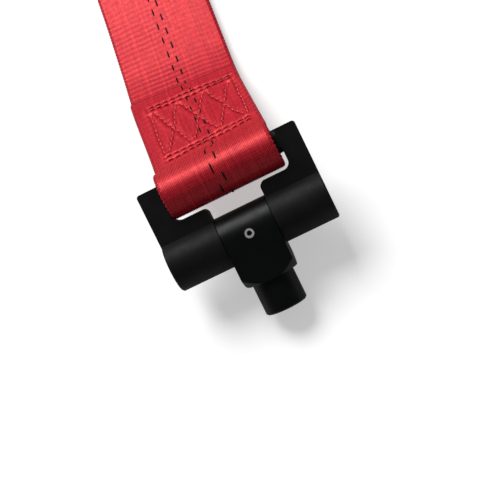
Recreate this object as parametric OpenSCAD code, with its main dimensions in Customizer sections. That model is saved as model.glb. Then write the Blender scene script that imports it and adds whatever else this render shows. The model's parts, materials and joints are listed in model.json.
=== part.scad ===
// Tow strap on a hinged tow-eye adapter.
// A metal T-bracket carries a loop of 50 mm webbing on its crossbar. A swivel
// block with a threaded stem turns in the bracket on a pin held by a set screw.
// The adapter leans on its stem end and the strap runs down to the ground.
// +X runs along the hinge pin, +Y along the strap and +Z up.

/* [Webbing] */
// Width of the webbing
webbing_w = 50; // [38:1:60]
// Thickness of one ply
webbing_t = 2.8; // [2:0.1:3.4]
// Space left between stitched plies
ply_gap = 0.2; // [0.1:0.05:0.4]
// Length from the crossbar centre to the middle of the end eye's bend
strap_len = 225; // [200:5:400]
// Length of the front tail from the crossbar centre
tail_len = 65; // [61:1:80]
// Where the buried end of the webbing starts
buried_start = 17; // [15:1:20]
// Inner radius of the loop round the crossbar
loop_r = 7.1; // [6:0.1:7.5]
// Length over which the loop closes to the stitched plies
loop_close = 14; // [12:1:16]
// Slope of the strap where it leaves the crossbar, degrees
strap_slope = 27; // [22:1:32]
// Radius of the bend where the strap meets the ground
ground_bend_r = 65; // [50:1:80]

/* [End eye] */
// Length of the open eye
eye_len = 58; // [50:1:80]
// Clear height inside the eye
eye_h = 15; // [12:1:20]
// Length over which the upper ply rises into the eye
eye_rise = 26; // [22:1:30]

/* [Bracket] */
// Thickness of the plate
plate_t = 8; // [7:0.1:9.6]
// Width of the leg on each side of the slot
side_leg_w = 9; // [7:0.5:14]
// Free space between webbing edge and slot end
slot_end_gap = 1; // [0.5:0.1:2]
// Diameter of the hinge barrel
barrel_d = 21; // [17.5:0.5:25]
// Height of the shoulders above the barrel axis
shoulder_h = 15.9; // [14:0.1:19]
// Height of the webbing slot
slot_h = 6.7; // [6.2:0.1:8]
// Height of the crossbar
crossbar_h = 9.8; // [9:0.1:10.2]
// Rounding of the crossbar where the webbing wraps it
crossbar_round = 3; // [2.6:0.1:3.5]
// Radius of the plate's outer corners
plate_corner_r = 1.3; // [0.5:0.1:3]
// Radius of the shoulder corners at the notch
shoulder_r = 2.4; // [1:0.1:3]

/* [Swivel block] */
// Width of the block between the knuckles
block_w = 22.4; // [19:0.1:27]
// Free space on each side of the block
block_gap = 0.3; // [0.2:0.05:0.6]
// Length of the block below the barrel axis
block_drop = 20.2; // [17:0.1:24]
// Diameter of the stem
stem_d = 18; // [15:0.5:21]
// Length of the stem below the block
stem_len = 13.8; // [11:0.1:20]
// Edge chamfer of the stem end and the barrel ends
edge_chamfer = 0.6; // [0.3:0.1:1]
// Major diameter of the thread in the stem
thread_d = 12; // [10:0.5:13]
// Depth of the thread in the stem
thread_depth = 16; // [12:0.5:19.5]

/* [Pin and screw] */
// Diameter of the hinge pin
pin_d = 10; // [8:0.5:12]
// Radial running clearance of the pin in the knuckles
pin_clear = 0.05; // [0.02:0.01:0.1]
// How far each pin end sits inside the bracket's side
pin_recess = 0.6; // [0.3:0.1:2]
// Diameter of the set screw
screw_d = 4; // [3:0.5:5]
// Hex size of the set screw's socket
screw_hex = 2; // [1.5:0.1:2.5]
// How far the set screw sits below the block's front
screw_recess = 0.35; // [0.2:0.05:0.8]
// How far the set screw bites into the pin
screw_bite = 0.5; // [0.3:0.1:0.8]

/* [Stitching] */
// Width of the sewing thread
thread_w = 0.9; // [0.7:0.1:1.2]
// Height of a stitch above the webbing
thread_h = 0.45; // [0.3:0.05:0.7]
// How far a stitch is pulled into the webbing
thread_sink = 0.15; // [0.05:0.05:0.3]
// Visible length of one stitch
stitch_len = 2.6; // [1.8:0.1:3]
// Distance from one stitch to the next
stitch_pitch = 3.2; // [3.1:0.1:4]
// Distance between two rows sewn side by side
row_gap = 2.6; // [2:0.1:3.5]
// Where the box stitch starts, from the crossbar centre
box_start = 17; // [15:1:20]
// Length of the box stitch
box_len = 40; // [34:1:42]
// Distance from the webbing's edge to the box stitch
box_margin = 5.4; // [4:0.1:9]
// How far the box stitch sits to the right of the webbing's middle
box_shift = 1.4; // [0:0.1:2]
// Distance from the side rows of a box to its crosses
side_gap = 1.6; // [1.2:0.1:3]
// Number of crosses side by side in the box stitch
cross_count = 3; // [1:1:4]
// Length of the stitching behind the eye
eye_box_len = 26; // [22:1:34]
// Distance between the two tracer threads
tracer_gap = 3.1; // [2.4:0.1:5]
// How far the tracer threads sit to the right of the webbing's middle
tracer_shift = 0.8; // [0:0.1:2]
// Visible length of one tracer dash
tracer_len = 3.4; // [2:0.1:4]
// Distance from one tracer dash to the next
tracer_pitch = 8.8; // [7:0.1:11]

/* [Stance] */
// Angle of the plate above the ground, degrees
plate_lean = 30; // [26:1:36]

/* [Hidden] */
$fn = 64;
over = 1; // how far a cutting shape runs past the face it cuts

// Widths along the pin
slot_len = webbing_w + 2 * slot_end_gap;
bracket_w = slot_len + 2 * side_leg_w;
notch_w = block_w + 2 * block_gap;

// Heights in the plate, from the barrel axis
barrel_r = barrel_d / 2;
slot_top = shoulder_h + slot_h;
plate_top = slot_top + crossbar_h;
crossbar_z = slot_top + crossbar_h / 2;
stem_end = block_drop + stem_len;

// The adapter rests on the chamfered edge of its stem end
axis_z = (stem_end - edge_chamfer) * sin(plate_lean) + stem_d / 2 * cos(plate_lean);
bar_y = crossbar_z * cos(plate_lean);
bar_z = axis_z + crossbar_z * sin(plate_lean);

// The strap's middle ply: straight down, a bend, then level on the ground
ply_pitch = webbing_t + ply_gap;
loop_mid_r = loop_r + webbing_t / 2;
level_z = ply_pitch + webbing_t / 2;
bend_drop = ground_bend_r * (1 - cos(strap_slope));
bend_start = (bar_z - level_z - bend_drop) / sin(strap_slope);
bend_len = ground_bend_r * strap_slope * PI / 180;
bend_end = bend_start + bend_len;
bend_steps = 12;

// The end eye
eye_start = strap_len - eye_len;
eye_mid_r = (eye_h + webbing_t) / 2;
eye_top = 2 * eye_mid_r - ply_pitch;
eye_round = strap_len - eye_mid_r;

// The origin lies under the middle of the whole part
front_y = -stem_end * cos(plate_lean) - (stem_d / 2 - edge_chamfer) * sin(plate_lean);
back_y = strap_y(strap_len) + webbing_t / 2;
axis_y = -(front_y + back_y) / 2;

// Slope of the strap at a length s from the crossbar centre
function slope(s) = s < bend_start ? -strap_slope
    : s < bend_end ? -strap_slope + (s - bend_start) / ground_bend_r * 180 / PI
    : 0;
function strap_y(s) = bar_y + min(s, bend_start) * cos(strap_slope)
    + (s <= bend_start ? 0 : ground_bend_r * (sin(strap_slope) + sin(slope(s))))
    + max(0, s - bend_end);
function strap_z(s) = bar_z - min(s, bend_start) * sin(strap_slope)
    - (s <= bend_start ? 0 : ground_bend_r * (cos(slope(s)) - cos(strap_slope)));
// Point at length s and height n above the middle ply
function at(s, n) = [strap_y(s) - n * sin(slope(s)), strap_z(s) + n * cos(slope(s))];

// Lengths at which the plies are drawn, the same for every ply
bend_marks = [for (i = [0 : bend_steps]) bend_start + i * bend_len / bend_steps];
function marks(a, b) = concat([a], [for (s = bend_marks) if (s > a && s < b) s], [b]);
function reversed(list) = [for (i = [len(list) - 1 : -1 : 0]) list[i]];
// Smooth step from 0 to 1
function ease(u) = (1 - cos(180 * u)) / 2;

loop_steps = 7;
middle_ply = [for (s = marks(buried_start, eye_start)) at(s, 0)];
eye_upper = [for (i = [1 : loop_steps + 3])
    let (u = i / (loop_steps + 3)) at(eye_start + u * eye_rise, eye_top * ease(u))];
eye_bend = [for (a = [90 : -12 : -90])
    at(eye_round + eye_mid_r * cos(a), eye_mid_r - ply_pitch + eye_mid_r * sin(a))];
back_ply = [for (s = reversed(marks(loop_close, eye_round - 1))) at(s, -ply_pitch)];
function closing(u) = loop_mid_r + (ply_pitch - loop_mid_r) * ease(u);
loop_back = [for (i = [loop_steps - 1 : -1 : 1])
    let (u = i / loop_steps) at(u * loop_close, -closing(u))];
loop_bend = [for (a = [-90 : -9 : -270])
    at(loop_mid_r * cos(a), loop_mid_r * sin(a))];
loop_front = [for (i = [1 : loop_steps - 1])
    let (u = i / loop_steps) at(u * loop_close, closing(u))];
tail_ply = [for (s = marks(loop_close, tail_len)) at(s, ply_pitch)];
webbing_line = concat(middle_ply, eye_upper, eye_bend, back_ply, loop_back,
                      loop_bend, loop_front, tail_ply);

// Left-hand normal of a line of points at its point i
function line_normal(line, i) =
    let (a = line[max(0, i - 1)], b = line[min(len(line) - 1, i + 1)], d = (b - a) / norm(b - a))
    [-d[1], d[0]];
function beside(line, h) = [for (i = [0 : len(line) - 1]) line[i] + h * line_normal(line, i)];

// Puts the adapter's own frame, with +Z up the plate, into its leaning stance
module adapter_stance() {
    translate([0, axis_y, axis_z]) rotate([plate_lean - 90, 0, 0]) children();
}

// Bar along X with a straight chamfer at each end
module chamfered_bar(r, w, c) {
    rotate([0, 90, 0]) rotate_extrude()
        polygon([[0, -w / 2], [r - c, -w / 2], [r, c - w / 2],
                 [r, w / 2 - c], [r - c, w / 2], [0, w / 2]]);
}

// Outline in the plate's plane with rounded corners
module rounded_rect(w, h, r) {
    for (x = [r - w / 2, w / 2 - r], z = [r, h - r]) translate([x, z]) circle(r);
    translate([-w / 2, r]) square([w, h - 2 * r]);
    translate([r - w / 2, 0]) square([w - 2 * r, h]);
}

// Extrudes an outline in X and Z through the plate's thickness
module through_plate(t) {
    rotate([90, 0, 0]) linear_extrude(t, center = true) children();
}

module plate_outline() {
    difference() {
        rounded_rect(bracket_w, plate_top, plate_corner_r);
        // Webbing slot; the crossbar above it is a separate rounded section
        translate([0, shoulder_h]) slot_outline();
        notch_outline();
    }
}

module slot_outline() {
    end_r = slot_h / 2;
    for (x = [-1, 1]) translate([x * (slot_len / 2 - end_r), end_r]) circle(end_r);
    translate([end_r - slot_len / 2, 0]) square([slot_len - 2 * end_r, slot_h]);
    // Room for the rounded crossbar
    translate([-slot_len / 2, slot_h / 2]) square([slot_len, slot_h / 2 + crossbar_h + over]);
}

// Notch for the swivel block, with rounded shoulders where it meets the slot
module notch_outline() {
    translate([-notch_w / 2, -over]) square([notch_w, shoulder_h + 2 * over]);
    for (x = [-1, 1]) scale([x, 1]) translate([notch_w / 2, shoulder_h - shoulder_r])
        difference() {
            translate([-over, 0]) square([shoulder_r + over, shoulder_r + over]);
            translate([shoulder_r, 0]) circle(shoulder_r);
            translate([shoulder_r, -over]) square(shoulder_r * 2);
        }
}

module crossbar_outline() {
    translate([-plate_t / 2, -crossbar_h / 2]) translate([plate_t / 2, 0])
        rounded_rect(plate_t, crossbar_h, crossbar_round);
}

module bracket() {
    color([0.09, 0.09, 0.10]) adapter_stance() difference() {
        union() {
            difference() {
                union() {
                    through_plate(plate_t) plate_outline();
                    chamfered_bar(barrel_r, bracket_w, edge_chamfer);
                }
                cube([notch_w, 2 * barrel_r + over, 2 * barrel_r + over], center = true);
            }
            translate([0, 0, crossbar_z]) rotate([90, 0, 90])
                linear_extrude(slot_len + 2 * over, center = true) crossbar_outline();
        }
        rotate([0, 90, 0]) cylinder(d = pin_d + 2 * pin_clear, h = bracket_w + 2 * over, center = true);
    }
}

module swivel_block() {
    turned_r = block_w / 2 + edge_chamfer;
    color([0.06, 0.06, 0.07]) adapter_stance() difference() {
        union() {
            intersection() {
                union() {
                    rotate([0, 90, 0]) cylinder(r = barrel_r, h = block_w, center = true);
                    translate([-block_w / 2, -barrel_r, -block_drop]) cube([block_w, barrel_d, block_drop]);
                }
                // The lower end is turned to a cone that meets the stem
                rotate_extrude() polygon([
                    [0, -block_drop], [turned_r - edge_chamfer, -block_drop],
                    [turned_r + barrel_r, -block_drop + barrel_r + edge_chamfer],
                    [turned_r + barrel_r, barrel_d], [0, barrel_d]]);
            }
            rotate_extrude() polygon([
                [0, -stem_end], [stem_d / 2 - edge_chamfer, -stem_end],
                [stem_d / 2, edge_chamfer - stem_end], [stem_d / 2, -barrel_r], [0, -barrel_r]]);
        }
        rotate([0, 90, 0]) cylinder(d = pin_d, h = block_w + 2 * over, center = true);
        translate([0, 0, -stem_end - over]) cylinder(d = thread_d, h = thread_depth + over);
        rotate([90, 0, 0]) cylinder(d = screw_d, h = barrel_r + over);
    }
}

module hinge_pin() {
    color([0.20, 0.20, 0.22]) adapter_stance() difference() {
        chamfered_bar(pin_d / 2, bracket_w - 2 * pin_recess, edge_chamfer);
        rotate([90, 0, 0]) translate([0, 0, pin_d / 2 - screw_bite]) cylinder(d = screw_d, h = pin_d);
    }
}

module set_screw() {
    screw_tip = pin_d / 2 - screw_bite;
    screw_top = barrel_r - screw_recess;
    socket_depth = (screw_top - screw_tip) / 2;
    color([0.75, 0.76, 0.78]) adapter_stance() rotate([90, 0, 0]) difference() {
        translate([0, 0, screw_tip]) cylinder(d = screw_d, h = screw_top - screw_tip);
        translate([0, 0, screw_top - socket_depth])
            cylinder(d = screw_hex / cos(30), h = socket_depth + over, $fn = 6);
    }
}

module webbing() {
    profile = concat(beside(webbing_line, webbing_t / 2),
                     reversed(beside(webbing_line, -webbing_t / 2)));
    color([0.80, 0.10, 0.14]) translate([0, axis_y, 0]) rotate([90, 0, 90])
        linear_extrude(webbing_w, center = true) polygon(profile);
}

// One stitch on the surface at height n, turned by heading from the X axis
module stitch(x, s, n, heading, length) {
    p = at(s, n);
    side = n < 0 ? -1 : 1;
    translate([x, axis_y + p[0], p[1]]) rotate([slope(s), 0, 0]) rotate([0, 0, heading])
        translate([-length / 2, -thread_w / 2, side > 0 ? -thread_sink : -thread_h])
            cube([length, thread_w, thread_sink + thread_h]);
}

// Stitches in a straight row from one place [x, s] to another
module stitch_row(from, to, n) {
    run = norm(to - from);
    count = floor(run / stitch_pitch);
    heading = atan2(to[1] - from[1], to[0] - from[0]);
    for (i = [0 : count - 1]) {
        place = from + (to - from) * (i + 0.5) / count;
        stitch(place[0], place[1], n, heading, stitch_len);
    }
}

front_n = ply_pitch + webbing_t / 2;
back_n = -front_n;
box_end = box_start + box_len;
box_half = webbing_w / 2 - box_margin;
// The eye's stitching joins two plies only, so its face is the middle ply's
eye_box_end = eye_start - row_gap;
eye_box_start = eye_box_end - eye_box_len;
eye_n = webbing_t / 2;

// Two rows across the strap at each end of a box
module cross_rows(start, end, n, shift) {
    for (s = [start, start + row_gap, end - row_gap, end])
        stitch_row([shift - box_half, s], [shift + box_half, s], n);
}

// Crosses side by side between the rows of a box
module crosses(start, end, n, shift) {
    low = start + 2 * row_gap;
    high = end - 2 * row_gap;
    cell = 2 * (box_half - side_gap) / cross_count;
    for (i = [0 : cross_count - 1]) {
        left = shift - box_half + side_gap + i * cell + thread_w;
        right = left + cell - 2 * thread_w;
        middle = [(left + right) / 2, (low + high) / 2];
        reach = 2 * thread_w * ([right, high] - middle) / norm([right, high] - middle);
        stitch_row([left, low], [right, high], n);
        mirrored = [-reach[0], reach[1]];
        stitch_row([right, low], middle - mirrored, n);
        stitch_row(middle + mirrored, [left, high], n);
    }
}

module box_stitch_rows() {
    color([0.72, 0.06, 0.10]) cross_rows(box_start, box_end, front_n, box_shift);
}

module box_stitch_sides() {
    low = box_start + 2 * row_gap;
    high = box_end - 2 * row_gap;
    color([0.72, 0.06, 0.10]) for (x = [box_shift - box_half, box_shift + box_half])
        stitch_row([x, low], [x, high], front_n);
}

module box_stitch_crosses() {
    color([0.72, 0.06, 0.10]) crosses(box_start, box_end, front_n, box_shift);
}

module back_stitch_rows() {
    color([0.72, 0.06, 0.10]) cross_rows(box_start, box_end, back_n, box_shift);
}

module eye_stitch_rows() {
    color([0.72, 0.06, 0.10]) cross_rows(eye_box_start, eye_box_end, eye_n, 0);
}

module eye_stitch_crosses() {
    color([0.72, 0.06, 0.10]) crosses(eye_box_start, eye_box_end, eye_n, 0);
}

// A row of short tracer threads along the upper face: on the tail, then on
// the middle ply beyond it; the first dash starts at the length given
module tracer(x, first) {
    on_tail = floor((tail_len - tracer_len - first) / tracer_pitch);
    past_tail = ceil((tail_len + tracer_len - first) / tracer_pitch);
    last = floor((eye_start - tracer_len - first) / tracer_pitch);
    for (i = [0 : last]) {
        s = first + i * tracer_pitch;
        if (i <= on_tail) stitch(x, s, front_n, 90, tracer_len);
        else if (i >= past_tail) stitch(x, s, eye_n, 90, tracer_len);
    }
}

module tracer_left() {
    color([0.05, 0.05, 0.06]) tracer(tracer_shift - tracer_gap / 2, loop_close + tracer_len);
}

module tracer_right() {
    color([0.05, 0.05, 0.06]) tracer(tracer_shift + tracer_gap / 2, loop_close + tracer_len + tracer_pitch / 2);
}

bracket();
swivel_block();
hinge_pin();
set_screw();
webbing();
box_stitch_rows();
box_stitch_sides();
box_stitch_crosses();
back_stitch_rows();
eye_stitch_rows();
eye_stitch_crosses();
tracer_left();
tracer_right();
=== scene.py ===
"""Tow strap on a hinged tow-eye adapter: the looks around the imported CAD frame."""
import json
import math

import bmesh
import bpy
import numpy as np
from mathutils import Matrix, Vector


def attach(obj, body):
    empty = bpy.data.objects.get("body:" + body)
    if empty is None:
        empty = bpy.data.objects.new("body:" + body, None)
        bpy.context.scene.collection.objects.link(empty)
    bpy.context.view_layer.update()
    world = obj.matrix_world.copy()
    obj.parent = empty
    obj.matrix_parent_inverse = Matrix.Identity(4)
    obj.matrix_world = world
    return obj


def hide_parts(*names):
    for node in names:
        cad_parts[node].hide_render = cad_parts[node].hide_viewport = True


MM = 0.001

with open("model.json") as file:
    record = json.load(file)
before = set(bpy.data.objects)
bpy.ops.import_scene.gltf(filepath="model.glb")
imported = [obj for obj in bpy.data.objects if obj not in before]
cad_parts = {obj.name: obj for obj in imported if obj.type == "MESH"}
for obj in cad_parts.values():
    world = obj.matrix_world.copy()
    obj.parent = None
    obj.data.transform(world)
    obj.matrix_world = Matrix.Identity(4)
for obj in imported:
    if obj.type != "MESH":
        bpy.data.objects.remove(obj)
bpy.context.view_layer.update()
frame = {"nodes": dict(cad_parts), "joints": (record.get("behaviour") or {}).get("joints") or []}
nodes = frame["nodes"]
joint_at = {joint["name"]: Vector(joint["pos_m"]) for joint in frame["joints"]}
axis_at = joint_at["block_swivel"]
bar_at = joint_at["strap_swing"]

# Directions of the bracket's plate: along the pin, up the plate and out of its face
ACROSS = Vector((1, 0, 0))
UP_PLATE = (bar_at - axis_at).normalized()
OUT_OF_PLATE = ACROSS.cross(UP_PLATE)

# ------------------------------------------------------------------ camera

CAMERA_LENS = 83.4
CAMERA_PLACE = Vector((35, 445, 32.4)) * MM
CAMERA_TARGET = Vector((-5.4, 0, -1.6)) * MM
CAMERA_ROLL = math.radians(-26.2)
CAMERA_NEAR = 10 * MM


def plate_point(place):
    """World point of a place given across, out of and up the plate from the hinge axis."""
    return axis_at + place.x * ACROSS + place.y * OUT_OF_PLATE + place.z * UP_PLATE


def add_camera():
    eye, target = plate_point(CAMERA_PLACE), plate_point(CAMERA_TARGET)
    back = (eye - target).normalized()
    right = UP_PLATE.cross(back).normalized()
    level = Matrix((right, back.cross(right), back)).transposed()
    data = bpy.data.cameras.new("camera")
    data.lens = CAMERA_LENS
    data.clip_start = CAMERA_NEAR
    camera = bpy.data.objects.new("camera", data)
    turned = level @ Matrix.Rotation(CAMERA_ROLL, 3, "Z")
    camera.matrix_world = Matrix.Translation(eye) @ turned.to_4x4()
    bpy.context.scene.collection.objects.link(camera)
    bpy.context.scene.camera = camera


# ------------------------------------------------------------------ materials

NOISE_LOW, NOISE_HIGH = 0.3, 0.7  # noise seldom goes past these
METAL_GRAIN = 0.03 * MM
FIBRE_FUZZ = 0.05 * MM
CLOTH_TINT = (1.0, 0.65, 0.5, 1)


def new_material(name):
    """A material, its node tree and its shader."""
    material = bpy.data.materials.new(name)
    material.use_nodes = True
    tree = material.node_tree
    return material, tree, tree.nodes["Principled BSDF"]


def noise_node(tree, scale, detail=3.0):
    """Noise fixed to the object."""
    place = tree.nodes.new("ShaderNodeTexCoord")
    noise = tree.nodes.new("ShaderNodeTexNoise")
    noise.inputs["Scale"].default_value = scale
    noise.inputs["Detail"].default_value = detail
    tree.links.new(place.outputs["Object"], noise.inputs["Vector"])
    return noise.outputs["Fac"]


def ramp_node(tree, source, stops):
    """Colours along a 0 to 1 value; stops are (value, colour)."""
    ramp = tree.nodes.new("ShaderNodeValToRGB")
    elements = ramp.color_ramp.elements
    while len(elements) < len(stops):
        elements.new(0.5)
    for element, (value, colour) in zip(elements, stops):
        element.position = value
        element.color = (*colour, 1)
    tree.links.new(source, ramp.inputs["Fac"])
    return ramp.outputs["Color"]


def range_node(tree, source, low, high):
    """Noise spread between two values."""
    spread = tree.nodes.new("ShaderNodeMapRange")
    spread.inputs["From Min"].default_value = NOISE_LOW
    spread.inputs["From Max"].default_value = NOISE_HIGH
    spread.inputs["To Min"].default_value = low
    spread.inputs["To Max"].default_value = high
    tree.links.new(source, spread.inputs["Value"])
    return spread.outputs["Result"]


def bump_node(tree, shader, height, strength, distance):
    bump = tree.nodes.new("ShaderNodeBump")
    bump.inputs["Strength"].default_value = strength
    bump.inputs["Distance"].default_value = distance
    tree.links.new(height, bump.inputs["Height"])
    tree.links.new(bump.outputs["Normal"], shader.inputs["Normal"])


def metal(name, dark, light, roughness, metallic, gloss=0.5):
    """Machined metal: a fine blasted grain, and a finish that varies a little over the part."""
    material, tree, shader = new_material(name)
    cloud = noise_node(tree, scale=90.0)
    colour = ramp_node(tree, cloud, [(NOISE_LOW, dark), (NOISE_HIGH, light)])
    tree.links.new(colour, shader.inputs["Base Color"])
    tree.links.new(range_node(tree, noise_node(tree, scale=260.0), *roughness), shader.inputs["Roughness"])
    shader.inputs["Metallic"].default_value = metallic
    shader.inputs["Specular IOR Level"].default_value = gloss
    bump_node(tree, shader, noise_node(tree, scale=2600.0, detail=2.0), strength=0.35, distance=METAL_GRAIN)
    return material


def cloth(name, stops, roughness, gloss, lustre):
    """Yarn coloured by the mesh's own shade attribute, with fibre fuzz in the bump."""
    material, tree, shader = new_material(name)
    shade = tree.nodes.new("ShaderNodeAttribute")
    shade.attribute_name = "shade"
    tree.links.new(ramp_node(tree, shade.outputs["Fac"], stops), shader.inputs["Base Color"])
    tree.links.new(range_node(tree, noise_node(tree, scale=700.0), *roughness), shader.inputs["Roughness"])
    shader.inputs["Specular IOR Level"].default_value = gloss
    shader.inputs["Specular Tint"].default_value = CLOTH_TINT
    shader.inputs["Metallic"].default_value = lustre
    bump_node(tree, shader, noise_node(tree, scale=4200.0, detail=2.0), strength=0.4, distance=FIBRE_FUZZ)
    return material


ANODISED = metal(
    "black_anodised", dark=(0.006, 0.006, 0.006), light=(0.010, 0.010, 0.010),
    roughness=(0.48, 0.58), metallic=0.0, gloss=0.12)
BLACK_OXIDE = metal(
    "black_oxide", dark=(0.0015, 0.002, 0.002), light=(0.003, 0.0035, 0.0035),
    roughness=(0.34, 0.42), metallic=0.0, gloss=0.15)
DARK_STEEL = metal(
    "dark_steel", dark=(0.03, 0.03, 0.032), light=(0.06, 0.06, 0.063),
    roughness=(0.30, 0.42), metallic=0.8)
BRIGHT_STEEL = metal(
    "bright_steel", dark=(0.60, 0.60, 0.60), light=(0.76, 0.75, 0.73),
    roughness=(0.30, 0.40), metallic=0.6)
# The shade attribute runs the webbing from dark to light; much of that range is painted shade and highlight
# of its relief.
RED_WEBBING = cloth(
    "red_webbing",
    [(0.0, (0.14, 0.0, 0.007)), (0.5, (0.60, 0.009, 0.034)), (1.0, (0.86, 0.060, 0.052))],
    roughness=(0.40, 0.52), gloss=0.45, lustre=0.22)
# Lighter than the webbing's red, though the thread is the same red: painted highlight on the stitches.
RED_THREAD = cloth(
    "red_thread",
    [(0.0, (0.36, 0.004, 0.016)), (0.5, (0.72, 0.040, 0.065)), (1.0, (0.90, 0.130, 0.150))],
    roughness=(0.32, 0.42), gloss=0.7, lustre=0.15)
BLACK_THREAD = cloth(
    "black_thread",
    [(0.0, (0.004, 0.003, 0.003)), (1.0, (0.016, 0.010, 0.012))],
    roughness=(0.45, 0.60), gloss=0.2, lustre=0.0)


# ------------------------------------------------------------------ curves and meshes

NOISE_VALUES = 400
NOISE_OFFSET = 40  # keeps lengths a little below 0 inside the table of values


def ease(u):
    """Smooth step from 0 to 1."""
    u = np.clip(u, 0, 1)
    return (1 - np.cos(math.pi * u)) / 2


def rising(s, start, length):
    """0 up to start, then smoothly up to 1 over a length."""
    return ease((s - start) / length)


def wave(x, pitch):
    return np.cos(2 * math.pi * x / pitch)


def hump(x, centre, width):
    """1 at the centre, falling away to 0 on both sides."""
    return np.exp(-(((x - centre) / width) ** 2))


def smooth_noise(seed, size):
    """A repeatable smooth random function of a length, with bumps of about the given size."""
    values = np.random.default_rng(seed).uniform(-1, 1, NOISE_VALUES)
    return lambda v: np.interp(v / size + NOISE_OFFSET, np.arange(NOISE_VALUES), values)


def grid_faces(rows, columns):
    """Quads between rings of points, one ring to a row; the two end rings stay open."""
    row = np.arange(rows - 1)[:, None] * columns
    column = np.arange(columns)[None, :]
    after = (column + 1) % columns
    corners = [row + column, row + after, row + columns + after, row + columns + column]
    return np.stack(corners, -1).reshape(-1, 4)


def build_mesh(name, verts, faces, material, shade):
    mesh = bpy.data.meshes.new(name)
    mesh.vertices.add(len(verts))
    mesh.vertices.foreach_set("co", np.asarray(verts, np.float32).ravel())
    faces = np.asarray(faces, np.int32)
    mesh.loops.add(faces.size)
    mesh.loops.foreach_set("vertex_index", faces.ravel())
    mesh.polygons.add(len(faces))
    mesh.polygons.foreach_set("loop_start", np.arange(len(faces), dtype=np.int32) * faces.shape[1])
    mesh.polygons.foreach_set("use_smooth", np.ones(len(faces), bool))
    mesh.update(calc_edges=True)
    mesh.attributes.new("shade", "FLOAT", "POINT").data.foreach_set(
        "value", np.clip(np.asarray(shade, np.float32).ravel(), 0, 1))
    mesh.materials.append(material)
    piece = bpy.data.objects.new(name, mesh)
    bpy.context.scene.collection.objects.link(piece)
    return piece


def close_ends(piece, rows, columns):
    """Caps the two cut ends of a swept mesh with one face each."""
    cut = bmesh.new()
    cut.from_mesh(piece.data)
    cut.verts.ensure_lookup_table()
    first = [cut.verts[i] for i in range(columns)]
    last = [cut.verts[(rows - 1) * columns + i] for i in range(columns)]
    cut.faces.new(first[::-1])
    cut.faces.new(last)
    bmesh.ops.recalc_face_normals(cut, faces=cut.faces)
    cut.to_mesh(piece.data)
    cut.free()


# ------------------------------------------------------------------ hardware

EDGE_ROUND = 0.35 * MM
SCREW_EDGE_ROUND = 0.12 * MM
WELD_GAP = 0.002 * MM
SHARP_EDGE = math.radians(28)

SCREW_R = 2.0 * MM
SCREW_REACH = 10.15 * MM  # from the hinge axis to the screw's face
SOCKET_SHARE = 0.48  # the socket's size as a share of the screw's
FACE_SHARE = 0.58  # where the screw's bright face starts

STEM_REACH = 34 * MM  # from the hinge axis to the stem's end
BORE_R = 6.0 * MM
BORE_DEPTH = 16.0 * MM
THREAD_PITCH = 1.75 * MM
THREAD_DEPTH = 0.95 * MM
THREAD_START = 0.7 * MM  # from the stem's end to the ridge
THREAD_SPARE = 2 * MM  # how much less than the bore's depth the thread climbs
RIDGE_FOOT = 0.8 * MM  # half the ridge's width at the wall
RIDGE_CREST = 0.12 * MM  # half the width of its flat top
RIDGE_SINK = 0.02 * MM  # how far its foot sinks into the wall
TURN_STEPS = 40
RUNOUT_STEPS = 20  # steps over which each end of the ridge fades into the wall


def finish_metal(name, material, edge=EDGE_ROUND):
    """Gives a CAD node its finish, and rounds its edges as tumbling does."""
    node = nodes[name]
    node.data.materials.clear()
    node.data.materials.append(material)
    for polygon in node.data.polygons:
        polygon.use_smooth = True
    weld = node.modifiers.new("weld", "WELD")
    weld.merge_threshold = WELD_GAP
    bevel = node.modifiers.new("edge_round", "BEVEL")
    bevel.width = edge
    bevel.segments = 3
    bevel.limit_method = "ANGLE"
    bevel.angle_limit = SHARP_EDGE
    node.modifiers.new("flat_faces", "WEIGHTED_NORMAL").keep_sharp = True


def paint_socket_shade(material, centre, axis):
    """Painted shade inside the set screw's socket, and the screw's bright face round it."""
    tree = material.node_tree
    shader = tree.nodes["Principled BSDF"]
    place = tree.nodes.new("ShaderNodeTexCoord")
    source = place.outputs["Object"]
    for operation, other in (("SUBTRACT", centre), ("CROSS_PRODUCT", axis), ("LENGTH", None)):
        step = tree.nodes.new("ShaderNodeVectorMath")
        step.operation = operation
        tree.links.new(source, step.inputs[0])
        if other is not None:
            step.inputs[1].default_value = other
        source = step.outputs["Value" if operation == "LENGTH" else "Vector"]
    share = tree.nodes.new("ShaderNodeMapRange")
    share.inputs["From Max"].default_value = SCREW_R
    tree.links.new(source, share.inputs["Value"])
    # painted shade in the socket's hollow, then the screw's own bright face
    stops = [(SOCKET_SHARE, (0.02, 0.019, 0.018)), (FACE_SHARE, (0.80, 0.79, 0.77)),
             (1.0, (0.92, 0.91, 0.89))]
    tree.links.new(ramp_node(tree, share.outputs["Result"], stops), shader.inputs["Base Color"])


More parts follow.
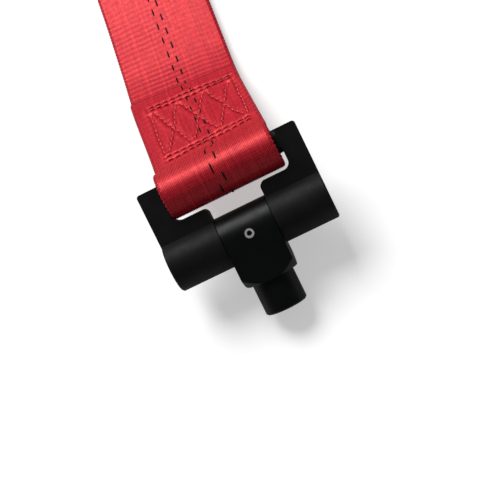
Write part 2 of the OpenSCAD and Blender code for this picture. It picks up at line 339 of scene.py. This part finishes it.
def make_stem_thread():
    """The thread's ridge, wound up the stem's bore from just inside its mouth."""
    inward = UP_PLATE
    mouth = axis_at - STEM_REACH * UP_PLATE + THREAD_START * UP_PLATE
    up = inward.cross(ACROSS)
    turns = (BORE_DEPTH - THREAD_SPARE) / THREAD_PITCH
    steps = int(turns * TURN_STEPS)
    ridge = [(RIDGE_SINK, -RIDGE_FOOT), (-THREAD_DEPTH, -RIDGE_CREST),
             (-THREAD_DEPTH, RIDGE_CREST), (RIDGE_SINK, RIDGE_FOOT)]
    verts = []
    for i in range(steps + 1):
        angle = 2 * math.pi * turns * i / steps
        runout = min(1, i / RUNOUT_STEPS, (steps - i) / RUNOUT_STEPS)
        start = mouth + inward * (THREAD_PITCH * turns * i / steps + RIDGE_FOOT)
        for out, along in ridge:
            reach = BORE_R + (out if out > 0 else out * runout)
            verts.append(start + inward * along + reach * (math.cos(angle) * ACROSS + math.sin(angle) * up))
    rows, columns = steps + 1, len(ridge)
    verts = np.array([list(v) for v in verts])
    shade = np.full(len(verts), 0.5)
    piece = build_mesh("stem_thread", verts, grid_faces(rows, columns), BLACK_OXIDE, shade)
    for polygon in piece.data.polygons:
        polygon.use_smooth = False
    close_ends(piece, rows, columns)
    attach(piece, "swivel")


# ------------------------------------------------------------------ strap geometry, in mm

WEB_W = 50.0
WEB_T = 2.8
PLY = 3.0  # from one stitched ply to the next
STRAP_LEN = 225.0
TAIL_LEN = 65.0
BURIED_START = 17.0
LOOP_INSIDE = 7.1
LOOP_R = LOOP_INSIDE + WEB_T / 2
LOOP_CLOSE = 14.0  # where the loop's two sides meet, from the crossbar
LOOP_SQUARE = 0.8  # 1 is a round loop; less is squarer, as webbing lies over a flat bar
SLOPE = math.radians(27)
BEND_R = 65.0
LEVEL = PLY + WEB_T / 2
EYE_LEN = 58.0
EYE_RISE = 26.0
EYE_HOLE = 15.0
EYE_R = (EYE_HOLE + WEB_T) / 2
EYE_TOP = 2 * EYE_R - PLY
EYE_START = STRAP_LEN - EYE_LEN
EYE_ROUND = STRAP_LEN - EYE_R

BAR = np.array(bar_at) / MM
BEND_START = (BAR[2] - LEVEL - BEND_R * (1 - math.cos(SLOPE))) / math.sin(SLOPE)
BEND_END = BEND_START + BEND_R * SLOPE

# How the strap lies between crossbar and ground. It sits a little to the left in its slot and
# heads left, then back; it rolls so that its left edge stands higher where the tail ends.
# Each change has its start along the strap and its length.
SLOT_SHIFT = -0.55
HEAD_LEFT = math.radians(2.5)
HEAD_RIGHT = math.radians(2.6)
TURN_LEFT = (2, 14)
TURN_RIGHT = (50, 35)
TURN_STRAIGHT = (140, 40)
ROLL = math.radians(5.7)
ROLL_UP = (8, 52)
ROLL_FLAT = (70, 60)
LIFT = (20, 60)


def heading(s):
    """The strap's angle to the left of straight ahead."""
    turn = HEAD_LEFT * rising(s, *TURN_LEFT) - (HEAD_LEFT + HEAD_RIGHT) * rising(s, *TURN_RIGHT)
    return turn + HEAD_RIGHT * rising(s, *TURN_STRAIGHT)


def roll(s):
    return ROLL * rising(s, *ROLL_UP) * (1 - rising(s, *ROLL_FLAT))


DRIFT_STEP = 0.5
DRIFT_S = np.arange(-20.0, STRAP_LEN + 20.0, DRIFT_STEP)
DRIFT = np.cumsum(-np.tan(heading(DRIFT_S))) * DRIFT_STEP
DRIFT += SLOT_SHIFT - np.interp(0.0, DRIFT_S, DRIFT)


def strap_points(x, s, n):
    """World points, in metres, of places on the strap: x across, s along, n above the middle ply."""
    x, s, n = np.broadcast_arrays(*(np.asarray(v, float) for v in (x, s, n)))
    bend = np.clip((s - BEND_START) / BEND_R, 0, SLOPE)
    tilt = bend - SLOPE
    straight = np.minimum(s, BEND_START)
    level = np.maximum(0, s - BEND_END)
    y = straight * math.cos(SLOPE) + BEND_R * (math.sin(SLOPE) + np.sin(tilt)) + level
    z = -straight * math.sin(SLOPE) - BEND_R * (np.cos(tilt) - math.cos(SLOPE))
    along = np.stack([0 * s, np.cos(tilt), np.sin(tilt)], -1)
    above = np.stack([0 * s, -np.sin(tilt), np.cos(tilt)], -1)
    turn, lean = heading(s)[..., None], roll(s)[..., None]
    side = np.cos(turn) * np.array([1.0, 0, 0]) + np.sin(turn) * along
    lift = WEB_W / 2 * np.sin(roll(s)) * rising(s, *LIFT)
    centre = np.stack([np.interp(s, DRIFT_S, DRIFT), BAR[1] + y, BAR[2] + z], -1) + lift[..., None] * above
    width = np.cos(lean) * side - np.sin(lean) * above
    normal = np.cos(lean) * above + np.sin(lean) * side
    return (centre + x[..., None] * width + n[..., None] * normal) * MM


LINE_STEP = 0.25
RISE_POINTS = 90
EYE_POINTS = 100
CLOSE_POINTS = 50
LOOP_POINTS = 200


def level_run(start, end, height):
    """Points of a stretch that keeps its height above the middle ply."""
    count = max(2, int(abs(end - start) / LINE_STEP))
    return [(s, height) for s in np.linspace(start, end, count)]


def webbing_line():
    """The webbing's middle line as (s, n) points, from its buried end to its front tail."""
    line = level_run(BURIED_START, EYE_START, 0.0)
    for u in np.linspace(0, 1, RISE_POINTS)[1:]:
        line.append((EYE_START + u * EYE_RISE, EYE_TOP * float(ease(u))))
    line += level_run(EYE_START + EYE_RISE + LINE_STEP, EYE_ROUND, EYE_TOP)
    for a in np.linspace(math.pi / 2, -math.pi / 2, EYE_POINTS)[1:]:
        line.append((EYE_ROUND + EYE_R * math.cos(a), EYE_R - PLY + EYE_R * math.sin(a)))
    line += level_run(EYE_ROUND - LINE_STEP, LOOP_CLOSE, -PLY)
    opening = [(u * LOOP_CLOSE, LOOP_R + (PLY - LOOP_R) * float(ease(u)))
               for u in np.linspace(0, 1, CLOSE_POINTS)[1:-1]]
    line += [(s, -height) for s, height in opening[::-1]]
    for a in np.linspace(-math.pi / 2, -3 * math.pi / 2, LOOP_POINTS):
        c, d = math.cos(a), math.sin(a)
        line.append((-LOOP_R * abs(c) ** LOOP_SQUARE, math.copysign(LOOP_R * abs(d) ** LOOP_SQUARE, d)))
    return np.array(line + opening + level_run(LOOP_CLOSE, TAIL_LEN, PLY))


LINE = webbing_line()
LINE_AT = np.concatenate([[0], np.cumsum(np.hypot(*np.diff(LINE, axis=0).T))])
WEB_LENGTH = LINE_AT[-1]


def line_at(at):
    """Places on the middle line, (s, n), at lengths along the webbing."""
    return np.interp(at, LINE_AT, LINE[:, 0]), np.interp(at, LINE_AT, LINE[:, 1])


def unit(vectors):
    return vectors / np.linalg.norm(vectors, axis=1)[:, None]


# ------------------------------------------------------------------ seams

BOX_START, BOX_END = 17.0, 57.0
ROW_GAP = 2.6
EYE_BOX_LEN = 26.0
EYE_BOX_END = EYE_START - ROW_GAP
EYE_BOX_START = EYE_BOX_END - EYE_BOX_LEN
BOX_MARGIN = 5.4
BOX_HALF = WEB_W / 2 - BOX_MARGIN
BOX_SHIFT = 1.4
SIDE_GAP = 1.6
CROSSES = 3
CROSS_INSET = 0.9  # from a cross's ends to the edge of its cell
STITCH_PITCH = 3.2
STITCH_LEN = 2.9
STITCH_BOW = 0.35
THREAD_R = 0.40

GROOVE_DEPTH = 0.35
GROOVE_W = 0.75
GROOVE_VARY = 0.12  # how much the groove's depth varies along each stitch
DEEPEST = -0.9
PUFF = 0.13
PUFF_REACH = 1.9  # from the sewn line to the top of the puff beside it
PUFF_W = 1.0
PUFF_VARY = 0.35
SEAM_STRAY = 0.55
STRAY = smooth_noise(seed=40, size=6.0)
STRAY_STEPS = (3, 5)  # how far through the noise a line's start moves it, for each mm across and along

# Where the two seams pucker the plies, along the strap
BOX_ZONE = (8, TAIL_LEN + 5)
EYE_ZONE = (EYE_BOX_START - 8, EYE_START + 4)


def row_lines(start, end, shift):
    return [((shift - BOX_HALF, s), (shift + BOX_HALF, s))
            for s in (start, start + ROW_GAP, end - ROW_GAP, end)]


def side_lines(start, end, shift):
    return [((x, start + 2 * ROW_GAP), (x, end - 2 * ROW_GAP)) for x in (shift - BOX_HALF, shift + BOX_HALF)]


def cross_lines(start, end, shift):
    low, high = start + 2 * ROW_GAP, end - 2 * ROW_GAP
    cell = 2 * (BOX_HALF - SIDE_GAP) / CROSSES
    lines = []
    for i in range(CROSSES):
        left = shift - BOX_HALF + SIDE_GAP + i * cell + CROSS_INSET
        right = left + cell - 2 * CROSS_INSET
        lines += [((left, low), (right, high)), ((right, low), (left, high))]
    return lines


BOX = (BOX_START, BOX_END, BOX_SHIFT)
EYE_BOX = (EYE_BOX_START, EYE_BOX_END, 0.0)
BOX_SEAM = row_lines(*BOX) + side_lines(*BOX) + cross_lines(*BOX)
EYE_SEAM = row_lines(*EYE_BOX) + cross_lines(*EYE_BOX)


def sewn_line(a, b):
    """A sewn line's start, direction, length and number of stitches."""
    a, b = np.array(a), np.array(b)
    run = np.linalg.norm(b - a)
    return a, (b - a) / run, run, max(1, math.floor(run / STITCH_PITCH))


def stray(start, u):
    """How far a sewn line strays sideways, u along it; each line has its own part of the noise."""
    return SEAM_STRAY * STRAY(u + STRAY_STEPS[0] * start[0] + STRAY_STEPS[1] * start[1])


def pucker(x, s, seam):
    """How far the thread pulls the surface in (below 0) or puffs it up beside the seam."""
    height = np.zeros(np.broadcast(x, s).shape)
    for line in seam:
        a, ahead, run, count = sewn_line(*line)
        u = (x - a[0]) * ahead[0] + (s - a[1]) * ahead[1]
        aside = (s - a[1]) * ahead[0] - (x - a[0]) * ahead[1] - stray(a, u)
        gap = np.hypot(u - np.clip(u, 0, run), aside)
        stitch = wave(u, run / count)
        height -= GROOVE_DEPTH * (1 - GROOVE_VARY + GROOVE_VARY * stitch) * hump(gap, 0, GROOVE_W)
        height += PUFF * (1 - PUFF_VARY * stitch) * hump(gap, PUFF_REACH, PUFF_W)
    return np.maximum(height, DEEPEST)


def inside(s, zone):
    return (s > zone[0]) & (s < zone[1])


def seam_height(x, s, n):
    """Pucker of the outer surface at a place on the ply at height n."""
    box = np.where((np.abs(n) > 1) & inside(s, BOX_ZONE), pucker(x, s, BOX_SEAM), 0.0)
    return box + np.where((n < 1) & inside(s, EYE_ZONE), pucker(x, s, EYE_SEAM), 0.0)


# ------------------------------------------------------------------ webbing mesh

SELVEDGE = 1.1
EDGE_FROM = WEB_W / 2 - SELVEDGE - 0.01
EDGE_POINTS = 9
INNER_POINTS = 21
INNER_HALF = 1.48  # the plain inner face, close enough to touch the next ply
AHEAD_REACH = 0.4
COVERED_RUN = 44  # length that lies between two plies, out of sight
EYE_RUN = 95  # length from the eye's start to just past its bend
FRONT_RUN = 112  # length from just before the crossbar's loop to the tail's cut end
NOISE_ACROSS = 60  # keeps places across the webbing above 0 in the noise
TAIL_SHIFT = 0.4  # how far the tail's end lies to the left of the ply under it
TAIL_SHIFT_OVER = (WEB_LENGTH - TAIL_LEN + 10, 45)

# Warp ribs run along the webbing and bands across it
RIBS = 74
RIB_DEPTH = 0.15
RIB_FLAT = 0.8  # share of the ribs' depth on the flat
RIB_BENT = 0.5  # what a bend adds to that share
OUTER_HALF = WEB_T / 2 - RIB_DEPTH - 0.05
BAND_PITCH = 2.9
BAND_DEPTH = 0.08
BAND_PATCHES = 0.35  # how much the bands' depth varies from patch to patch
BAND_WANDER = 0.7
BANDS_FROM = 60  # where the middle ply comes out from under the tail, and its bands stand out
BAND_SEWN = 0.3  # share of the bands' depth that is left where plies are sewn or bent
# share of the bands' painted shade that is left where plies are sewn or bent
BAND_SEWN_PAINTED_SHADE = 0.4
WEFT_PITCH = 1.1
WEFT_OVER = 0.55  # how far a weft line steps from a rib to a groove

# Over the top of the loop the ribs open, and at the crossbar the edge beads grow
LOOP_TOP = 2.0  # where the bend over the loop's top starts to straighten
LOOP_FADE = 12.0
LOOP_PAST = 5.0
AT_BAR = (4, 12)  # centre and width of the stretch at the crossbar
BEAD_PITCH = 1.9
BEAD_STEP = 0.5  # puts the two edges' beads out of step
BEAD = 0.12
BEAD_AT_BAR = 0.28
EDGE_INSET = 0.15  # how far the edges lie in from the webbing's full width, and twice that at the bar

# The tail's right edge is ruffled by the side row beside it
RUFFLE_DEPTH = 0.16
RUFFLE_IN = 2.2
RUFFLE_W = 1.6
RUFFLE_ZONE = (16, 60)

# Shade, from 0, dark, to 1, light, and what each thing adds to it. Ribs, loop, bands, seams and ruffle add
# painted shade in the relief's hollows and painted highlight on its crests; fibres, yarns, cloud and the cut
# end are the yarn's own tone.
SHADE = 0.48
RIB_PAINTED_SHADE = 0.15
# over the top of the loop the ribs' painted shade and highlight grow stronger
LOOP_RIB_PAINTED_SHADE = 0.30
BAND_PAINTED_SHADE = 0.10
WEFT_SHADE = 0.10
SEAM_PAINTED_SHADE = 0.5
RUFFLE_PAINTED_SHADE = 0.10
FIBRE_SHADE = 0.08
YARN_SHADE = 0.06
CLOUD_SHADE = 0.07
CUT_SHADE = 0.2
CUT_LEN = 0.6


def section():
    """Across the webbing: x, side (1 outer, -1 inner) and rib (1 top, -1 groove), once round."""
    half = WEB_W / 2
    rib_x = np.linspace(-half + SELVEDGE, half - SELVEDGE, 2 * RIBS + 1)
    inner_x = np.linspace(half - SELVEDGE, -half + SELVEDGE, INNER_POINTS)
    angles = np.linspace(math.pi / 2, -math.pi / 2, EDGE_POINTS)[1:-1]
    edge_x = half - SELVEDGE + SELVEDGE * np.cos(angles)
    x = np.concatenate([rib_x, edge_x, inner_x, -edge_x[::-1]])
    side = np.concatenate([np.ones(len(rib_x)), np.sin(angles), -np.ones(len(inner_x)), np.sin(angles[::-1])])
    ribs = np.where(np.arange(len(rib_x)) % 2, 1.0, -1.0)
    return x, side, np.concatenate([ribs, np.zeros(len(x) - len(rib_x))])


def stations():
    """Places along the webbing for its cross sections: close together where its face shows."""
    eye = EYE_START - BURIED_START
    back = eye + EYE_RUN
    front = WEB_LENGTH - FRONT_RUN
    stretches = [(0, COVERED_RUN, 1.5), (COVERED_RUN, eye, 0.5), (eye, back, 0.7),
                 (back, front, 0.9), (front, WEB_LENGTH, 0.45)]
    return np.concatenate([np.arange(*stretch) for stretch in stretches] + [[WEB_LENGTH]])


def noise_across(x, seed, size):
    return smooth_noise(seed, size)(x + NOISE_ACROSS)


def outward_at(at):
    """Directions out of the webbing's outer face, as (s, n)."""
    ahead = unit(np.stack(line_at(at + AHEAD_REACH), -1) - np.stack(line_at(at - AHEAD_REACH), -1))
    return np.stack([-ahead[:, 1], ahead[:, 0]], -1)


def band_wave(at, x):
    """Bands across the webbing, stronger in some patches than in others."""
    patches = smooth_noise(seed=3, size=11.0)(at) * noise_across(x, seed=4, size=7.0)
    wander = BAND_WANDER * noise_across(x, seed=5, size=9.0)
    return (1 - BAND_PATCHES + BAND_PATCHES * patches) * wave(at + wander, BAND_PITCH)


def loop_share(s):
    """1 over the top of the loop, about a half at its front, and 0 up the strap."""
    return np.where(s < LOOP_CLOSE, hump(np.minimum(s, LOOP_TOP), LOOP_TOP, LOOP_FADE),
                    hump(s, LOOP_CLOSE, LOOP_PAST))


def edge_beads(at, x, s):
    """How far the beads of weft that turn at the selvedge move the webbing's edges out."""
    at_bar = hump(s, *AT_BAR)
    bead = (BEAD + BEAD_AT_BAR * at_bar) * wave(at + BEAD_STEP * np.sign(x), BEAD_PITCH)
    return np.where(np.abs(x) > EDGE_FROM, np.sign(x) * (bead - EDGE_INSET * (1 + at_bar)), 0.0)


def tail_ruffle(x, s, n):
    on_tail = (n > 1) & inside(s, RUFFLE_ZONE)
    return wave(s, STITCH_PITCH) * hump(x, WEB_W / 2 - RUFFLE_IN, RUFFLE_W) * on_tail


def webbing_shade(at, x, rib, loop, band, seams, ruffle):
    """Light and dark of the yarns: painted shade and highlight of the relief, weft, single fibres, whole
    yarns and cloudy wear.
    """
    weft = wave(at + WEFT_OVER * rib, WEFT_PITCH)
    # painted shade in rib and seam grooves and ruffle troughs, painted highlight on rib tops, band crests and
    # puffs
    shade = SHADE + (RIB_PAINTED_SHADE + LOOP_RIB_PAINTED_SHADE * loop) * rib + BAND_PAINTED_SHADE * band + WEFT_SHADE * weft
    shade = shade + SEAM_PAINTED_SHADE * seams + RUFFLE_PAINTED_SHADE * ruffle
    rows, columns = shade.shape
    grain = np.random.default_rng(21)
    shade = shade + FIBRE_SHADE * grain.standard_normal((rows, columns))
    shade = shade + YARN_SHADE * grain.standard_normal((1, columns))
    cloud = smooth_noise(seed=11, size=5.0)(at) * noise_across(x, seed=12, size=6.0)
    shade = shade + CLOUD_SHADE * cloud
    return np.where(at > WEB_LENGTH - CUT_LEN, CUT_SHADE, shade)


def make_webbing():
    stops = stations()
    x, side, rib = section()
    at = stops[:, None]
    x, s, n = np.broadcast_arrays(x, *line_at(at))
    outer = np.clip(side, 0, 1)
    seams = seam_height(x, s, n) * outer
    loop = loop_share(s)
    band = band_wave(at, x)
    banded = ((np.abs(n) < 1) & (s > BANDS_FROM)) | (s > EYE_START)
    x = x + edge_beads(at, x, s)
    ruffle = tail_ruffle(x, s, n)
    ribs = RIB_DEPTH * rib * (RIB_FLAT + RIB_BENT * loop)
    weave = ribs + BAND_DEPTH * band * np.where(banded, 1.0, BAND_SEWN)
    rise = np.where(side < 0, INNER_HALF, OUTER_HALF) * side + outer * (weave + RUFFLE_DEPTH * ruffle) + seams
    x = x - TAIL_SHIFT * rising(at, *TAIL_SHIFT_OVER)
    outward = outward_at(stops)
    verts = strap_points(x, s + rise * outward[:, :1], n + rise * outward[:, 1:])
    verts[..., 2] = np.maximum(verts[..., 2], 0)
    # the bands' painted shade is weaker where plies are sewn or bent
    band = band * np.where(banded, 1.0, BAND_SEWN_PAINTED_SHADE)
    shade = webbing_shade(at, x, rib, loop, band, seams, ruffle)
    rows, columns = x.shape
    piece = build_mesh("strap_webbing", verts.reshape(-1, 3), grid_faces(rows, columns), RED_WEBBING, shade)
    close_ends(piece, rows, columns)
    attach(piece, "strap")
    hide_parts("webbing")


# ------------------------------------------------------------------ threads

THREAD_POINTS = 9
THREAD_MIDDLE = THREAD_POINTS // 2
THREAD_SIDES = 8
THREAD_FLAT = 0.8
THREAD_END = 0.55  # a stitch's radius at its ends, as a share of its radius in the middle
STITCH_SINK = 0.30  # how far a stitch's ends dive below the surface
STITCH_RISE = 0.55  # from its ends to its middle
STITCH_ARCH = 0.7
TWISTS = 3
TWIST_SHADE = 0.3

TRACER_X = 0.8
TRACER_ASIDE = 0.9  # how far left of TRACER_X the tracers lie away from the tail
TRACER_GAP = 3.1
TRACER_LEN = 4.2
TRACER_PITCH = 8.8
TRACER_R = 0.36
TRACER_SINK = 0.40
TRACER_RISE = 0.42
TRACER_END = 0.6
TRACER_ARCH = 0.35
TRACER_DIP = 0.1  # the most that a seam pulls a tracer in
TRACER_SPAN = (1, WEB_LENGTH - 0.5)  # the stretch of webbing that dashes keep to
TRACER_FIRST = 3.0  # from the tail's cut end to the middle of its first dash
ON_TAIL = (WEB_LENGTH - TAIL_LEN, 24)
UNDER_TAIL = TAIL_LEN + 1.5


def thread_rings(x, s, n, radius):
    """Rings of points round a short thread through strap places."""
    middle = strap_points(x, s, n)
    middle[..., 2] = np.maximum(middle[..., 2], THREAD_R * MM)
    above = unit(strap_points(x, s, n + 1.0) - middle)
    ahead = unit(np.gradient(middle, axis=0))
    side = unit(np.cross(ahead, above))
    normal = np.cross(side, ahead)
    angle = np.linspace(0, 2 * math.pi, THREAD_SIDES, endpoint=False)[None, :, None]
    ring = np.cos(angle) * side[:, None, :] + THREAD_FLAT * np.sin(angle) * normal[:, None, :]
    return middle[:, None, :] + ring * (radius[:, None, None] * MM)


def thread_piece(name, runs, material, replaced):
    """One piece from many short threads; runs are (x, s, n, radius) arrays."""
    faces = grid_faces(THREAD_POINTS, THREAD_SIDES)
    twist = np.repeat(0.5 + TWIST_SHADE * wave(np.linspace(0, TWISTS, THREAD_POINTS), 1.0), THREAD_SIDES)
    verts = np.concatenate([thread_rings(*run).reshape(-1, 3) for run in runs])
    faces = np.concatenate([faces + i * THREAD_POINTS * THREAD_SIDES for i in range(len(runs))])
    piece = build_mesh(name, verts, faces, material, np.tile(twist, len(runs)))
    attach(piece, "strap")
    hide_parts(replaced)


def thread_arch(power):
    """Along one thread, 0 at its ends and 1 at its middle; a low power makes it squarer."""
    return np.sin(np.linspace(0, math.pi, THREAD_POINTS)) ** power


def stitches(seam, ply):
    """Thread runs for every stitch of a seam on the outside of one ply."""
    out = -1 if ply < 0 else 1
    arch = thread_arch(STITCH_ARCH)
    plies = np.full(THREAD_POINTS, float(ply))
    runs = []
    for line in seam:
        a, ahead, run, count = sewn_line(*line)
        for i in range(count):
            u = (i + 0.5) * run / count + np.linspace(-0.5, 0.5, THREAD_POINTS) * STITCH_LEN
            aside = STITCH_BOW * (arch - 0.5) + stray(a, u)
            x, s = a[0] + u * ahead[0] - aside * ahead[1], a[1] + u * ahead[1] + aside * ahead[0]
            surface = abs(ply) + WEB_T / 2 + seam_height(x, s, plies)
            height = surface - STITCH_SINK + STITCH_RISE * arch
            runs.append((x, s, out * height, THREAD_R * (THREAD_END + (1 - THREAD_END) * arch)))
    return runs


def tracer(side, first):
    """Runs of black yarn that surface along the outside of the webbing."""
    arch = thread_arch(TRACER_ARCH)
    runs = []
    for start in np.arange(WEB_LENGTH - first, 0, -TRACER_PITCH):
        at = start + np.linspace(-0.5, 0.5, THREAD_POINTS) * TRACER_LEN
        s, n = line_at(at)
        past_an_end = at[0] < TRACER_SPAN[0] or at[-1] > TRACER_SPAN[1]
        hidden = abs(n[THREAD_MIDDLE]) < 1 and s[THREAD_MIDDLE] < UNDER_TAIL
        if past_an_end or hidden:
            continue
        ahead = unit(np.gradient(np.stack([s, n], -1), axis=0))
        aside = TRACER_ASIDE * (1 - rising(at[THREAD_MIDDLE], *ON_TAIL))
        x = np.full(THREAD_POINTS, TRACER_X - aside + side * TRACER_GAP / 2)
        height = WEB_T / 2 + np.maximum(seam_height(x, s, n), -TRACER_DIP) - TRACER_SINK + TRACER_RISE * arch
        radius = TRACER_R * (TRACER_END + (1 - TRACER_END) * arch)
        runs.append((x, s - ahead[:, 1] * height, n + ahead[:, 0] * height, radius))
    return runs


def make_threads():
    thread_piece("box_seam_rows", stitches(row_lines(*BOX), PLY), RED_THREAD, "box_stitch_rows")
    thread_piece("box_seam_sides", stitches(side_lines(*BOX), PLY), RED_THREAD, "box_stitch_sides")
    thread_piece("box_seam_crosses", stitches(cross_lines(*BOX), PLY), RED_THREAD, "box_stitch_crosses")
    back = stitches(BOX_SEAM, -PLY) + stitches(EYE_SEAM, -PLY)
    thread_piece("back_seam", back, RED_THREAD, "back_stitch_rows")
    eye_rows, eye_crosses = stitches(row_lines(*EYE_BOX), 0), stitches(cross_lines(*EYE_BOX), 0)
    thread_piece("eye_seam_rows", eye_rows, RED_THREAD, "eye_stitch_rows")
    thread_piece("eye_seam_crosses", eye_crosses, RED_THREAD, "eye_stitch_crosses")
    left, right = tracer(-1, TRACER_FIRST), tracer(1, TRACER_FIRST + TRACER_PITCH / 2)
    thread_piece("left_tracer", left, BLACK_THREAD, "tracer_left")
    thread_piece("right_tracer", right, BLACK_THREAD, "tracer_right")


# ------------------------------------------------------------------ stage

FLOOR_HALF = 4.0
FLOOR_PALE = (0.72, 0.50)  # brightness seen by the camera, and cast on the object
FLOOR_GLOW = (0.45, 0.10)
STUDIO_GLOW = (1.0, 0.14)
KEY_FROM = Vector((-0.35, 1.2, 1.75))
KEY_ANGLE = math.radians(34)
KEY_POWER = 2.75


def seen_level(tree, seen, cast):
    """A brightness that the camera sees at one level and that lights the object at another."""
    path = tree.nodes.new("ShaderNodeLightPath")
    level = tree.nodes.new("ShaderNodeMapRange")
    level.inputs["To Min"].default_value = cast
    level.inputs["To Max"].default_value = seen
    tree.links.new(path.outputs["Is Camera Ray"], level.inputs["Value"])
    return level.outputs["Result"]


def add_stage():
    corners = [(x * FLOOR_HALF, y * FLOOR_HALF, 0) for x, y in ((-1, -1), (1, -1), (1, 1), (-1, 1))]
    mesh = bpy.data.meshes.new("floor")
    mesh.from_pydata(corners, [], [(0, 1, 2, 3)])
    floor = bpy.data.objects.new("floor", mesh)
    bpy.context.scene.collection.objects.link(floor)
    material, tree, shader = new_material("pale_floor")
    tree.links.new(seen_level(tree, *FLOOR_PALE), shader.inputs["Base Color"])
    shader.inputs["Roughness"].default_value = 0.9
    shader.inputs["Emission Color"].default_value = (1, 1, 1, 1)
    tree.links.new(seen_level(tree, *FLOOR_GLOW), shader.inputs["Emission Strength"])
    mesh.materials.append(material)


def add_lights():
    """One broad soft key from high behind the strap, and a pale studio all round."""
    data = bpy.data.lights.new("key", "SUN")
    data.angle = KEY_ANGLE
    data.energy = KEY_POWER
    key = bpy.data.objects.new("key", data)
    key.rotation_euler = KEY_FROM.to_track_quat("Z", "Y").to_euler()
    bpy.context.scene.collection.objects.link(key)
    world = bpy.data.worlds.new("studio")
    bpy.context.scene.world = world
    world.use_nodes = True
    tree = world.node_tree
    backdrop = tree.nodes["Background"]
    backdrop.inputs["Color"].default_value = (1, 1, 1, 1)
    tree.links.new(seen_level(tree, *STUDIO_GLOW), backdrop.inputs["Strength"])
    bpy.context.scene.view_settings.view_transform = "Standard"


add_camera()
finish_metal("bracket", ANODISED)
finish_metal("swivel_block", BLACK_OXIDE)
finish_metal("hinge_pin", DARK_STEEL)
finish_metal("set_screw", BRIGHT_STEEL, SCREW_EDGE_ROUND)
paint_socket_shade(BRIGHT_STEEL, axis_at + SCREW_REACH * OUT_OF_PLATE, OUT_OF_PLATE)
make_stem_thread()
make_webbing()
make_threads()
add_stage()
add_lights()
